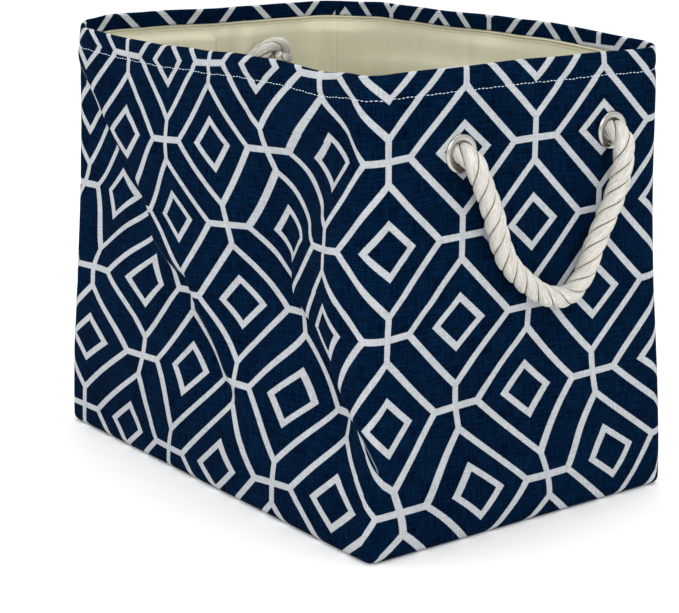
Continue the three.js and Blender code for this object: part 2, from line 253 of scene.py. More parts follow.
def plan(run, up):
    """The taut plan, rounded further where the rim is slack at a corner."""
    up = np.asarray(up, float)
    reach = np.zeros(len(up))
    for side, along, slack, size, from_up in SLACK_CORNERS:
        gap = wrapped(run - run_at(side, along))
        reach += slack * np.exp(-(gap / size) ** 2) * smoothstep(up, from_up, HEIGHT)
    point, out = taut_plan(run, up)
    loose = reach > 0.5
    if loose.any():
        steps = np.linspace(-1, 1, 9)
        around = [taut_plan(run[loose] + step * reach[loose], up[loose]) for step in steps]
        point[loose] = sum(p for p, _ in around) / len(steps)
        out[loose] = unit(sum(o for _, o in around))
    return point, out


# ---------- shape of the soft wall ----------
def rim_sag(run):
    stops = sorted((wrapped(run_at(side, along)), drop) for side, along, drop in RIM_SAG)
    at, drop = np.array(stops, float).T
    at = np.concatenate([[at[-1] - PERIMETER], at, [at[0] + PERIMETER]])
    drop = np.concatenate([[drop[-1]], drop, [drop[0]]])
    run = wrapped(run)
    k = np.clip(np.searchsorted(at, run, side="right") - 1, 0, len(at) - 2)
    return drop[k] + (drop[k + 1] - drop[k]) * smoothstep((run - at[k]) / (at[k + 1] - at[k]), 0, 1)


def mound(dx, dy, turn, half_long, half_wide):
    """1 in the middle of a slanting oval, falling to 0 round it."""
    x = (dx * math.cos(turn) + dy * math.sin(turn)) / half_long
    y = (dy * math.cos(turn) - dx * math.sin(turn)) / half_wide
    return np.exp(-x * x - y * y)


def swell(names, place, up):
    total = np.zeros(len(up))
    for side, along, middle, half_long, half_wide, tilt, out in SWELLS:
        flip = -1 if side in ("back", "left") else 1
        turn = math.radians(flip * tilt)
        here = mound(place - flip * along, up - middle, turn, half_long, half_wide)
        total += (names == side) * out * here
    half = np.array([SIDES[n][1] - CORNER_RADIUS for n in names])
    beside_corner = smoothstep(np.minimum(half + place, half - place), -10, 40)
    return total * beside_corner * (1 - smoothstep(up, HEIGHT - 90, HEIGHT - 26)) * smoothstep(up, 0, 30)


def beside_route(run, up, route):
    """Signed distance from a fold's route, positive on the side that stands in front, and how
    much of the fold there is: 0 at the ends of the route, 1 along its middle."""
    route = np.asarray(route, float)
    place = np.column_stack([run, up])
    best, share = np.full(len(run), 1e9), np.zeros(len(run))
    before = run_along(route)
    for a, b, start, length in zip(route[:-1], route[1:], before, np.diff(before)):
        t = np.clip((place - a) @ (b - a) / length ** 2, 0, 1)
        away = place - a - t[:, None] * (b - a)
        distance = np.hypot(away[:, 0], away[:, 1])
        cross = (b - a)[0] * (place - a)[:, 1] - (b - a)[1] * (place - a)[:, 0]
        near = distance < np.abs(best)
        best = np.where(near, np.where(cross < 0, -distance, distance), best)
        share = np.where(near, (start + t * length) / before[-1], share)
    return best, smoothstep(share, 0, 0.16) * (1 - smoothstep(share, 0.84, 1))


def relief(run, up):
    """How far the cloth stands out from the plan."""
    names, place = sides_at(run)
    out = swell(names, place, up)
    clear = smoothstep(HEIGHT - up, 14, 40) * smoothstep(up, 0, 40)
    for f in FOLDS:
        distance, whole = beside_route(wrapped(run), up, f["route"])
        step = np.tanh(distance / f["edge"]) * np.exp(-np.abs(distance) / f["reach"])
        out += f["rise"] * whole * clear * step
    return out


def creases(run, up):
    """For each of the two sharp folds, the distance from it and how much of it there is."""
    sharp = [beside_route(wrapped(run), up, f["route"]) for f in FOLDS if f["sharp"]]
    return [np.clip(distance, -15, 15) for distance, _ in sharp], [whole for _, whole in sharp]


def wall_points(run, up, inset):
    """Points of a layer of the wall, inset from its outer face."""
    up = np.clip(up, 0, HEIGHT)
    point, out = plan(run, up)
    height = up * (1 - rim_sag(run) / HEIGHT)
    return np.column_stack([point + out * (relief(run, up) - inset)[:, None], height])


# ---------- the print ----------
# The lattice is counted in cells: crosses where column + row is odd, lozenges where it is even.
COLUMN, ROW = 70.0, 68.0              # size of a cell
FIRST_COLUMN = 16.0                   # from the front right corner to column 0
FIRST_ROW, PRINT_RISE = 380.0, 0.045  # height of row 0 there, and how it climbs round the wall
ARM_ACROSS, ARM_UP = 0.298, 0.257     # half widths of a cross, in cells
LOZENGE_ACROSS, LOZENGE_UP = 0.31, 0.295
LINE = 5.5                            # width of a printed line

# The print slips where the cloth is creased: middle (round, up), reach (round, up), slip (round, up).
PRINT_SLIPS = [
    (-170, 350, 120, 70, -24, 1), (-305, 230, 40, 60, 16, 3), (-50, 312, 45, 45, 14, 0),
    (-130, 238, 45, 45, 6, 0), (-44, 176, 40, 40, -11, 0), (-395, 352, 60, 45, 0, 6),
    (-320, 110, 70, 70, 20, 0), (-220, 120, 80, 90, 19, 4), (-90, 150, 60, 70, 25, 7),
    (-230, 15, 90, 50, -14, -11), (60, 20, 80, 50, 20, -4), (190, 20, 90, 50, 15, -11),
    (70, 150, 70, 80, -6, 2), (220, 120, 90, 80, -8, -3), (250, 340, 90, 70, 4, -3),
    (20, 300, 60, 70, -6, 3),
]

# How far the print moves on past the cloth that the first fold hides (round, up).
LAPPED = (-66.0, 12.0)


def lapped_print(run, along):
    """How much of that move is made: all of it on the lower left of the fold's upper end."""
    distance, _ = beside_route(run, along, FOLDS[0]["route"])
    hidden = (1 - smoothstep(distance, -3, 0.5)) * smoothstep(along, 150, 260)
    hidden *= smoothstep(HEIGHT + 4 - along, 0, 60) * smoothstep(run, -PERIMETER / 2, -440)
    return hidden * (1 - 0.3 * smoothstep(run, -410, -340)) * (run < 0)


def print_cells(run, along):
    """Print coordinates, in cells, of places on the cloth. The print meets itself at the seam in
    the back left corner, half the perimeter from the front right one."""
    run = wrapped(run)
    across, up = run - FIRST_COLUMN, FIRST_ROW + PRINT_RISE * run - along
    for middle, height, reach_across, reach_up, slip_across, slip_up in PRINT_SLIPS:
        near = np.exp(-((run - middle) / reach_across) ** 2 - ((along - height) / reach_up) ** 2)
        across, up = across - slip_across * near, up + slip_up * near
    hidden = lapped_print(run, along)
    across, up = across + LAPPED[0] * hidden, up + LAPPED[1] * hidden
    return np.column_stack([across / COLUMN, up / ROW])


# ---------- meshes ----------
def add_object(name, points, faces, smooth=True):
    mesh = bpy.data.meshes.new(name)
    mesh.from_pydata((np.asarray(points) * MM).tolist(), [], [tuple(f) for f in faces])
    mesh.validate()
    mesh.update()
    mesh.polygons.foreach_set("use_smooth", np.full(len(mesh.polygons), smooth))
    obj = bpy.data.objects.new(name, mesh)
    bpy.context.scene.collection.objects.link(obj)
    return obj


def add_attribute(obj, name, *columns):
    """One number, or a vector of two or three, for each point, for the materials."""
    values = np.column_stack(columns).astype(np.float32)
    single = values.shape[1] == 1
    if not single:
        values = np.pad(values, ((0, 0), (0, 3 - values.shape[1])))
    attribute = obj.data.attributes.new(name, "FLOAT" if single else "FLOAT_VECTOR", "POINT")
    attribute.data.foreach_set("value" if single else "vector", values.ravel())


def grid_faces(rows, columns, wrap_rows=False, wrap_columns=False):
    i, j = np.meshgrid(np.arange(rows if wrap_rows else rows - 1),
                       np.arange(columns if wrap_columns else columns - 1), indexing="ij")
    i2, j2 = (i + 1) % rows, (j + 1) % columns
    corner = [(a * columns + b).ravel() for a, b in ((i, j), (i2, j), (i2, j2), (i, j2))]
    return np.column_stack(corner).tolist()


def thicken(obj, thickness):
    """Gives a sheet its thickness, behind the face that was drawn."""
    modifier = obj.modifiers.new("cloth thickness", "SOLIDIFY")
    modifier.thickness = thickness * MM
    modifier.offset = -1
    modifier.use_even_offset = False
    bpy.context.view_layer.update()
    solid = obj.evaluated_get(bpy.context.evaluated_depsgraph_get())
    obj.data = bpy.data.meshes.new_from_object(solid)
    obj.modifiers.clear()
    return obj


def piece(obj, material, slot, body, *nodes):
    """Gives a piece its material, attaches it to its body if it has one, and hides the nodes that it stands
    for; slot is not used.
    """
    obj.data.materials.append(material)
    if body:
        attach(obj, body)
    if nodes:
        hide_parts(*nodes)
    return obj


GROMMETS = [(f"{end}_{side}", sign, middle + (HANDLE_HALF if side == "back" else -HANDLE_HALF))
            for end, sign, middle in ENDS for side in ("front", "back")]


def off_grommets(run, up, radius, soft):
    """0 on a grommet and 1 away from it."""
    keep = np.ones(len(run))
    for _, sign, y in GROMMETS:
        past = wrapped(run - run_at("right" if sign > 0 else "left", y))
        gap = np.hypot(past, up - GROMMET_HEIGHT)
        keep = np.minimum(keep, smoothstep(gap, radius, radius + soft))
    return keep


def crumple(run, up, seed, count, size, height):
    """Many small soft creases, thrown over the wall in a fixed way."""
    random = np.random.default_rng(seed)
    total = np.zeros(len(run))
    for _ in range(count):
        middle = random.uniform(-PERIMETER / 2, PERIMETER / 2), random.uniform(15, HEIGHT - 30)
        turn, long = random.uniform(0, math.pi), size * random.uniform(0.7, 1.8)
        wide, tall = long * random.uniform(0.14, 0.3), height * random.uniform(-1, 1)
        dx, dy = wrapped(run - middle[0]), up - middle[1]
        near = np.abs(dx) < 3 * long
        total[near] += tall * mound(dx[near], dy[near], turn, long, wide)
    return total


WALL_STATIONS = 720


def hem_section():
    """The outer cloth from under the floor, up, over the rim and down to the end of its hem:
    inset, height and length of cloth for each line of points."""
    turn = np.radians(np.linspace(-90, 0, 6))
    foot = np.column_stack([BOTTOM_ROLL * (1 - np.cos(turn)), BOTTOM_ROLL * (1 + np.sin(turn))])
    top = HEIGHT - ROLL
    rise = np.linspace(BOTTOM_ROLL, top, 186)[1:-1]
    over = np.radians(np.linspace(0, 180, 9))
    rim = np.column_stack([ROLL * (1 - np.cos(over)), top + ROLL * np.sin(over)])
    down = np.linspace(top, HEIGHT - HEM_DEPTH, 7)[1:]
    wall = np.column_stack([np.zeros(len(rise)), rise])
    hem = np.column_stack([np.full(len(down), 2 * ROLL), down])
    section = np.vstack([foot, wall, rim, hem])
    return section[:, 0], section[:, 1], run_along(section) + BOTTOM_ROLL * (1 - math.pi / 2)


def carried_round(inset, up, stations, bulge):
    """A section carried round the wall; bulge(run, up) adds to how far out its points stand."""
    run = np.linspace(-PERIMETER / 2, PERIMETER / 2, stations, endpoint=False)
    runs, ups = np.repeat(run, len(up)), np.tile(up, stations)
    points = wall_points(runs, ups, np.tile(inset, stations) - bulge(runs, ups))
    return runs, ups, points, np.array(grid_faces(stations, len(up), wrap_rows=True))


def with_holes(points, faces, *values):
    """Leaves out the cloth inside each grommet, with the values of its points, and draws the cut
    edge round."""
    for _, sign, y in GROMMETS:
        centre = np.array([sign * HALF_LENGTH, y, GROMMET_HEIGHT])
        away = points - centre
        near = np.abs(away[:, 0]) < 12
        gap = np.where(near, np.hypot(away[:, 1], away[:, 2]), 1e3)
        faces = faces[gap[faces].mean(1) > CLOTH_HOLE]
        edge = (gap > CLOTH_HOLE - 2.2) & (gap < CLOTH_HOLE + 1.4)
        scale = (CLOTH_HOLE / np.where(edge, gap, 1))[:, None]
        points[edge, 1:] = (centre + away * scale)[edge, 1:]
    used = np.unique(faces)
    at = np.full(len(points), -1)
    at[used] = np.arange(len(used))
    return points[used], at[faces].tolist(), *[v[used] for v in values]


def rim_wander(run, up):
    """How far the rim strays in and out as it goes round."""
    return 0.7 * np.sin(run / 58 + 1) * smoothstep(up, HEIGHT - 40, HEIGHT)


def outer_bulge(run, up):
    """Fine life in the outer cloth: small creases, the pull of the stitching, the floor edge."""
    calm = off_grommets(run, up, FLANGE_RADIUS + 1, 26) * smoothstep(up, 4, 26)
    fine = crumple(run, up, SEED, 150, 20, 0.55) + crumple(run, up, SEED + 1, 60, 46, 0.9)
    below = smoothstep(HEIGHT - up, STITCH_DROP - 1, STITCH_DROP + 24)
    stitch = HEIGHT - STITCH_DROP
    pull = -0.75 * np.exp(-((up - stitch) / 2.2) ** 2)
    pull = pull + 0.28 * np.sin(run / 4.3 + 1.3 * np.sin(run / 31)) * np.exp(-((up - stitch) / 7) ** 2)
    band = 0.5 * np.sin(np.pi * np.clip((up - stitch) / (STITCH_DROP - 3), 0, 1))
    return calm * fine * below + pull + band + rim_wander(run, up)


def outer_wall(material):
    inset, up, along = hem_section()
    inside = np.tile(inset > ROLL, WALL_STATIONS)
    run, _, points, faces = carried_round(
        inset, up, WALL_STATIONS,
        lambda run, up: np.where(inside, rim_wander(run, up), outer_bulge(run, up)))
    points, faces, run, alongs = with_holes(points, faces, run, np.tile(along, WALL_STATIONS))
    obj = add_object("outer_cloth", points, faces)
    add_attribute(obj, "print", print_cells(run, alongs))
    add_attribute(obj, "cloth", run, alongs)
    at_seam = (np.abs(run) > PERIMETER / 2 - 1.7 * PERIMETER / WALL_STATIONS).astype(float)
    distances, wholes = creases(run, alongs)
    add_attribute(obj, "beside", *distances, at_seam)
    add_attribute(obj, "creased", *[whole ** 3 for whole in wholes])
    thicken(obj, CLOTH)
    return piece(obj, material, "printed_cloth", "bin", "outer_wall")


# Upright folds of the lining: (side, along, height, half width, half height, lean, how far it
# stands into the bin).
LINING_FOLDS = [
    ("left", 116, 250, 9, 120, 3, 4.0), ("left", 134, 270, 26, 150, 0, 9.0),
    ("left", 15, 320, 5, 60, 5, 3.0), ("left", 34, 318, 8, 70, -7, 3.6),
    ("left", -100, 250, 22, 110, 8, 3.0), ("back", -190, 270, 24, 150, 0, 7.0),
    ("back", 20, 240, 34, 150, 12, 3.0), ("back", 150, 250, 26, 130, -8, 3.0),
    ("right", 20, 230, 30, 120, 6, 3.0), ("front", -60, 240, 30, 130, -8, 3.0),
    ("front", 120, 230, 24, 110, 8, 2.6),
]
# Where a flat-lying panel of the lining ends: (side, from, to, bottom, top, rounding, rise).
LINING_PANEL = ("left", -118, -8, 60, 349, 8, 5.2)


def lining_bulge(run, up):
    """The lining hangs a little loose, in soft folds; never through the outer cloth."""
    loose = crumple(run, up, SEED + 5, 90, 34, 1.3)
    broad = 1.2 + 1.2 * np.sin(run / 37 + 0.8 * np.sin(up / 60)) * np.sin(run / 91 + 2)
    into = np.maximum(loose + broad, 0)
    for side, along, middle, wide, tall, lean, rise in LINING_FOLDS:
        dy = up - middle
        dx = wrapped(run - run_at(side, along)) - lean * dy / tall
        into = into + rise * np.exp(-(dx / wide) ** 2 - (dy / tall) ** 4)
    side, first, last, bottom, top, rounding, rise = LINING_PANEL
    middle = run_at(side, (first + last) / 2)
    past = np.maximum(np.abs(wrapped(run - middle)) - (last - first) / 2, 0)
    above = np.maximum(np.abs(up - (top + bottom) / 2) - (top - bottom) / 2, 0)
    into = into + rise * (1 - smoothstep(np.hypot(past, above) - rounding, -2.2, 2.2))
    shelf = 319 + 5 * np.sin(run / 70)
    at_back = np.exp(-(wrapped(run - run_at("back", -60)) / 130) ** 4)
    into = into + 2.4 * at_back * np.exp(-(np.maximum(np.abs(up - shelf) - 3, 0) / 8) ** 2)
    ease = smoothstep(up, 10, 40) * smoothstep(HEIGHT - HEM_DEPTH - up, 3, 15)
    return -into * ease * off_grommets(run, up, FLANGE_RADIUS + 1, 20)


def lining_wall(material):
    """From under the hem down to the floor, with a narrow ridge where it is sewn to the hem."""
    edge = HEIGHT - HEM_DEPTH
    up = np.concatenate([np.linspace(LINING_TOP, edge + 1, 5), np.linspace(edge, edge - 6, 13)[1:],
                         np.linspace(edge - 8.5, 12, 140), [9.5, 7.6, 6.4]])
    ridge = 1.5 * np.exp(-((up - (edge - 1.6)) / 0.9) ** 2)
    foot = np.interp(up, [6.4, 7.6, 9.5, 12], [4.2, 2.2, 0.8, 0])
    inset = LINING_FACE + ridge + foot
    run, ups, points, faces = carried_round(inset, up, 600, lining_bulge)
    points, faces, run, ups = with_holes(points, faces, run, ups)
    obj = add_object("lining_cloth", points, faces)
    add_attribute(obj, "cloth", run, ups)
    thicken(obj, LINING)
    return piece(obj, material, "coated_lining", "bin", "lining_wall")


def floor_sheet(name, inset, height, bow, thickness, flip=False):
    """A sheet over the whole base, drawn as rings of the wall's plan."""
    stations, rings = 240, 48
    run = np.linspace(-PERIMETER / 2, PERIMETER / 2, stations, endpoint=False)
    edge = wall_points(run, np.full(stations, 3.0), np.full(stations, inset))[:, :2]
    share = np.linspace(1, 0.02, rings)
    xy = (edge[:, None, :] * share[None, :, None]).reshape(-1, 2)
    z = height + bow(xy[:, 0], xy[:, 1], np.tile(share, stations))
    points = np.vstack([np.column_stack([xy, z]), [[0, 0, height + bow(0.0, 0.0, 0.0)]]])
    faces = grid_faces(stations, rings, wrap_rows=True)
    middle = stations * rings
    last = [(i + 1) * rings - 1 for i in range(stations)]
    faces += [[a, b, middle] for a, b in zip(last, last[1:] + last[:1])]
    if flip:
        faces = [f[::-1] for f in faces]
    obj = add_object(name, points, faces)
    add_attribute(obj, "cloth", points[:, :2] + HEIGHT)
    add_attribute(obj, "print", points[:, 0] / COLUMN, points[:, 1] / ROW)
    return thicken(obj, thickness)


def lining_base(material):
    def bow(x, y, share):
        ripple = np.sin(x / 47 + 0.6 * np.sin(y / 60)) * np.sin(y / 39 + 1) + 0.5 * np.sin((x + y) / 23)
        inside = (0.6 + 0.5 * ripple) * smoothstep(1 - share, 0, 0.2)
        return 0.5 + inside + 0.8 * smoothstep(share, 0.985, 1)
    obj = floor_sheet("lining_floor", WALL + 4.5, 6.0, bow, LINING)
    return piece(obj, material, "coated_lining", "bin", "lining_base")


def outer_base(material):
    def bow(x, y, share):
        return 0.05 + 0.7 * smoothstep(share, 0.97, 1)
    obj = floor_sheet("outer_floor", BOTTOM_ROLL + 0.3, 0.0, bow, CLOTH, flip=True)
    return piece(obj, material, "printed_cloth", "bin", "outer_base")


def spokes(path, angle):
    """Directions away from a path at angles round it; from point to point they turn as little as
    they can."""
    forward = unit(np.gradient(path, axis=0))
    start = np.array([0.0, 0, 1]) if abs(forward[0][2]) < 0.9 else np.array([1.0, 0, 0])
    across = np.zeros_like(forward)
    across[0] = unit(np.cross(start, forward[0]))
    for k in range(1, len(path)):
        v = across[k - 1] - forward[k] * (across[k - 1] @ forward[k])
        across[k] = v / np.linalg.norm(v)
    up = np.cross(forward, across)
    return np.cos(angle)[..., None] * across[:, None] + np.sin(angle)[..., None] * up[:, None]


def tube(path, radius, sides):
    """Points and faces of a round tube along a path, with a radius for each point of the path."""
    ring = spokes(path, np.linspace(0, 2 * np.pi, sides, endpoint=False)[None])
    points = (path[:, None] + radius[:, None, None] * ring).reshape(-1, 3)
    faces = [f[::-1] for f in grid_faces(len(path), sides, wrap_columns=True)]
    faces += [list(range(sides))[::-1], [(len(path) - 1) * sides + k for k in range(sides)]]
    return points, faces


STITCH, STITCH_SPACE = 3.0, 0.9


def topstitch(material, inside, *nodes):
    """A row of single stitches that dip into the cloth at both ends, outside or inside."""
    points, faces = [], []
    count = int(PERIMETER // (STITCH + STITCH_SPACE))
    pitch = PERIMETER / count
    t = np.linspace(0, 1, 6)
    for k in range(count):
        run = -PERIMETER / 2 + k * pitch + t * (pitch - STITCH_SPACE)
        up = np.full(len(t), HEIGHT - STITCH_DROP) + 0.25 * math.sin(k * 1.7)
        proud = -0.26 + 0.56 * np.sin(np.pi * t) ** 0.5
        if inside:
            inset = LINING_FACE - lining_bulge(run, up) + proud
        else:
            inset = -outer_bulge(run, up) - proud
        path = wall_points(run, up, inset)
        p, f = tube(path, 0.26 + 0.08 * np.sin(np.pi * t), 6)
        faces += [[v + len(points) * len(p) for v in face] for face in f]
        points.append(p)
    obj = add_object("inner_stitches" if inside else "outer_stitches", np.vstack(points), faces)
    return piece(obj, material, "thread", "bin", *nodes)


# ---------- rope ----------
SEAM = 0.66                          # depth where two strands meet, as a share of the radius
STRAND_SIDES = 22                    # points across one of the three strands
ROPE_STEP = 1.3                      # between rings of points along a rope


def laid_rope(path, radius, turn):
    """Points, faces, grain and seam share of three strands laid to the right. Each line of points
    stays on its own part of a strand, so the seams between the strands are clean."""
    radius = np.broadcast_to(radius, len(path))
    run = run_along(path)
    share = np.sin(np.linspace(-np.pi / 2, np.pi / 2, STRAND_SIDES, endpoint=False))
    offset = np.concatenate([share * np.pi / 3 + strand * 2 * np.pi / 3 for strand in range(3)])
    share = np.tile(share, 3)
    sides = len(share)
    angle = turn + 2 * np.pi * run[:, None] / ROPE_LAY + offset[None]
    lobe = SEAM + (1 - SEAM) * np.sqrt(np.maximum(1 - np.abs(share) ** 2.6, 0))
    strand = np.repeat(np.arange(3), STRAND_SIDES)
    slow, quick = np.sin(run[:, None] / 7.1 + 2.4 * strand), np.sin(run[:, None] / 2.9 + 4.1 * strand)
    uneven = (0.022 * slow + 0.012 * quick) * (1 - share[None] ** 2)
    reach = radius[:, None] * lobe[None] * (1 + uneven)
    points = path[:, None] + reach[..., None] * spokes(path, angle)
    faces = [f[::-1] for f in grid_faces(len(path), sides, wrap_columns=True)]
    last = len(path) * sides
    faces += [[(k + 1) % sides, k, last] for k in range(sides)]
    faces += [[last - sides + k, last - sides + (k + 1) % sides, last + 1] for k in range(sides)]
    points = np.vstack([points.reshape(-1, 3), path[:1], path[-1:]])
    grain = np.broadcast_arrays(share[None] * ROPE_RADIUS * np.pi / 3, run[:, None], 7.0 * strand[None])
    grain = np.stack(grain, -1).reshape(-1, 3)
    grain = np.vstack([grain, grain[:1], grain[-1:]])
    # How near each point lies to the groove between strands; the rope material paints it dark as shade.
    seam = np.tile(smoothstep(np.abs(share), 0.70, 1.0), len(path))
    return points, faces, grain, np.concatenate([seam, [1, 1]])


def rope_object(name, path, radius, turn=0.0):
    points, faces, grain, seam = laid_rope(path, radius, turn)
    obj = add_object(name, points, faces)
    add_attribute(obj, "grain", grain)
    add_attribute(obj, "seam", seam)
    return obj


def handle(end, sign, middle, material, knots):
    """One rope from knot to knot, through both grommets."""
    inner = -(TURN_RADIUS + WALL + 3 * GAP + 2.0)
    first, last = HANDLE_ROUTE[0], HANDLE_ROUTE[-1]
    route = [(inner, first[1], 0.2), (-15, first[1], 0.2), (-8.5, first[1] + 0.2, -0.6),
             (-2.8, first[1] + 1.2, -4), (0.5, first[1] + 3, -9.5)]
    route += HANDLE_ROUTE[1:-1]
    route += [(0.5, last[1] - 1, -9.5), (-2.8, last[1] - 0.3, -4), (-8.5, last[1], -0.6)]
    route += [(-15, last[1], 0.2), (inner, last[1], 0.2)]
    local = catmull(route, ROPE_STEP)
    axis = np.array([sign * (HALF_LENGTH + TURN_RADIUS), middle, GROMMET_HEIGHT])
    path = axis + local * np.array([sign, sign, 1])
    obj = rope_object(f"rope_handle_{end}", path, ROPE_RADIUS)
    throats = [f"rope_throat_{end}_front", f"rope_throat_{end}_back"]
    piece(obj, material, "rope_cotton", None, f"handle_rope_{end}", *throats)
    start, stop = np.array([-8 * sign, 0, 3]), np.array([3 * sign, 0, -12])
    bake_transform(obj)
    out_of_wall, length = path[int(0.03 * len(path))], run_along(path)[-1]
    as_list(knots)


def knot_route():
    """An overhand knot behind a grommet, (along the wall, up, inwards): in through the middle,
    once round the outside back towards the wall, and out through the middle beside itself."""
    wide, tall = 18.6, 12.8
    route = [(0, 0, KNOT_START), (-3, 0, 10), (-6, -1, 16)]
    for turn in range(210, 600, 30):
        grow = np.interp(turn, [210, 270], [0.56, 1.0])
        inwards = np.interp(turn, [210, 270, 570], [21.5, 26.5, 10])
        angle = math.radians(turn)
        route.append((grow * wide * math.cos(angle), grow * tall * math.sin(angle), inwards))
    route += [(-6.5, -11.2, 9.2), (2.5, -10.5, 8.8), (6.8, -5, 10.5), (6.9, -0.5, 15), (6.8, 0.6, 24)]
    route += [(6.4, 1.2, 32), (5.2, 1.0, 38.5)]
    return catmull(route, ROPE_STEP)


def knot(name, sign, y, spin, shift, material):
    local = knot_route() * (KNOT_SPREAD, KNOT_SPREAD, 1)
    turn = math.radians(spin)
    along = local[:, 0] * math.cos(turn) - local[:, 1] * math.sin(turn)
    up = local[:, 0] * math.sin(turn) + local[:, 1] * math.cos(turn)
    moved = smoothstep(local[:, 2], KNOT_START, KNOT_START + 9)
    path = np.column_stack([sign * (HALF_LENGTH - local[:, 2]), y + sign * along + shift[0] * moved,
                            GROMMET_HEIGHT + up + shift[1] * moved])
    share = np.linspace(0, 1, len(path))
    radius = np.interp(share, [0, 0.1, 0.9, 1], [7.8, 7.3, 7.3, 7.8])
    obj = rope_object(f"knot_{name}", path, radius, turn=1.0)
    return piece(obj, material, "rope_cotton", "bin", f"rope_knot_{name}")


# ---------- grommets ----------
def spun(name, profile, sign, y, sides=72):
    """A closed profile (radius, outwards) spun about a grommet's axis."""
    profile = np.asarray(profile, float)
    angle = np.linspace(0, 2 * np.pi, sides, endpoint=False)
    out = HALF_LENGTH + np.tile(profile[:, 1], sides)
    radius, angles = np.tile(profile[:, 0], sides), np.repeat(angle, len(profile))
    points = np.column_stack([sign * out, y + sign * radius * np.cos(angles),
                              GROMMET_HEIGHT + radius * np.sin(angles)])
    return add_object(name, points, grid_faces(sides, len(profile), wrap_rows=True, wrap_columns=True))


def arc_points(radius, out, size_r, size_o, first, last, count):
    t = np.radians(np.linspace(first, last, count))
    return list(zip(radius + size_r * np.cos(t), out + size_o * np.sin(t)))


def eyelet(name, sign, y, material):
    """A rolled flange outside, a barrel through the cloth, and its edge curled over the washer."""
    back = -(WALL + 2 * GAP + 1)
    flange = (FLANGE_RADIUS + BARREL_RADIUS) / 2
    half = (FLANGE_RADIUS - BARREL_RADIUS) / 2
    profile = arc_points(flange, GAP, half, 2.3, 0, 180, 25)
    profile += [(BARREL_RADIUS, back + 0.2)] + arc_points(10.9, back - 0.1, 1.5, 1.3, 180, 360, 11)
    profile += [(10.9, back + 0.1), (10.2, back + 0.3), (10.2, 0.3), (11, GAP)]
    obj = spun(f"eyelet_ring_{name}", profile[::-1], sign, y)
    return piece(obj, material, "grommet_metal", "bin", f"eyelet_{name}")


def washer(name, sign, y, material):
    face = -(WALL + GAP)
    profile = [(10.7, face - 0.15), (10.9, face - 1), (13, face - 1.25), (15.1, face - 1),
               (FLANGE_RADIUS, face - 0.5), (15.3, face), (10.9, face)]
    obj = spun(f"washer_ring_{name}", profile, sign, y)
    return piece(obj, material, "grommet_metal", "bin", f"washer_{name}")


# ---------- materials ----------
class Wire:
    """A shader value that can be added, multiplied and so on; each step makes its own Math node."""

    def __init__(self, graph, socket):
        self.graph, self.socket = graph, socket

    def step(self, operation, *others):
        return self.graph.math(operation, self, *others)

    def __add__(self, other):
        return self.step("ADD", other)

    def __sub__(self, other):
        return self.step("SUBTRACT", other)

    def __mul__(self, other):
        return self.step("MULTIPLY", other)

    def __truediv__(self, other):
        return self.step("DIVIDE", other)

    def band(self, low, high):
        """1 below low and 0 above high, softly."""
        return self.graph.ramp(self, low, high, 1, 0)


class Graph:
    """The nodes of one material."""

    def __init__(self, name):
        self.material = bpy.data.materials.new(name)
        self.material.use_nodes = True
        self.tree = self.material.node_tree
        self.shader = self.tree.nodes["Principled BSDF"]

    def node(self, kind, inputs=(), **settings):
        made = self.tree.nodes.new(f"ShaderNode{kind}")
        for key, value in settings.items():
            setattr(made, key, value)
        for key, value in dict(inputs).items():
            self.put(made.inputs[key], value)
        return made

    def put(self, socket, value):
        if isinstance(value, Wire):
            value = value.socket
        if isinstance(value, bpy.types.NodeSocket):
            self.tree.links.new(value, socket)
        else:
            socket.default_value = value

    def math(self, operation, *values):
        made = self.node("Math", enumerate(values), operation=operation)
        return Wire(self, made.outputs[0])

    def ramp(self, value, low, high, from_low, from_high, kind="SMOOTHSTEP"):
        made = self.node("MapRange", {"Value": value, "From Min": low, "From Max": high, "To Min": from_low,
                                      "To Max": from_high}, interpolation_type=kind)
        return Wire(self, made.outputs["Result"])

    def attribute(self, name):
        """The three parts of a vector stored on the mesh."""
        stored = self.node("Attribute", attribute_name=name)
        parts = self.node("SeparateXYZ", {"Vector": stored.outputs["Vector"]})
        return [Wire(self, parts.outputs[k]) for k in range(3)]

    def noise(self, x, y, z=0.0, detail=2.0, roughness=0.5):
        """Noise in -1 to 1 of a place whose unit is one blotch."""
        place = self.node("CombineXYZ", {"X": x, "Y": y, "Z": z})
        made = self.node("TexNoise", {"Vector": place.outputs[0], "Scale": 1.0, "Detail": detail,
                                      "Roughness": roughness}, noise_dimensions="3D")
        return Wire(self, made.outputs[0]) * 2 - 1

    def blotches(self, scale, detail=2.0):
        """Noise in 0 to 1, scale blotches to a metre."""
        place = self.node("TexCoord").outputs["Object"]
        return self.node("TexNoise", {"Vector": place, "Scale": scale, "Detail": detail}).outputs[0]

    def mix(self, share, first, second):
        made = self.node("Mix", data_type="RGBA")
        for socket, value in zip([s for s in made.inputs if s.enabled], (share, first, second)):
            self.put(socket, value)
        return [s for s in made.outputs if s.enabled][0]

    def bump(self, height, depth, strength=1.0, before=None):
        """Height in millimetres."""
        made = self.node("Bump", {"Height": height, "Distance": depth * MM, "Strength": strength})
        if before is not None:
            self.put(made.inputs["Normal"], before)
        return made.outputs[0]

    def finish(self, color, roughness, normal=None, **fixed):
        self.put(self.shader.inputs["Base Color"], color)
        self.put(self.shader.inputs["Roughness"], roughness)
        if normal is not None:
            self.put(self.shader.inputs["Normal"], normal)
        for name, value in fixed.items():
            self.shader.inputs[name.replace("_", " ")].default_value = value
        return self.material


def rgb(red, green, blue):
    return (red, green, blue, 1.0)


THREAD_PITCH = 1.05                  # of the cloth's weave


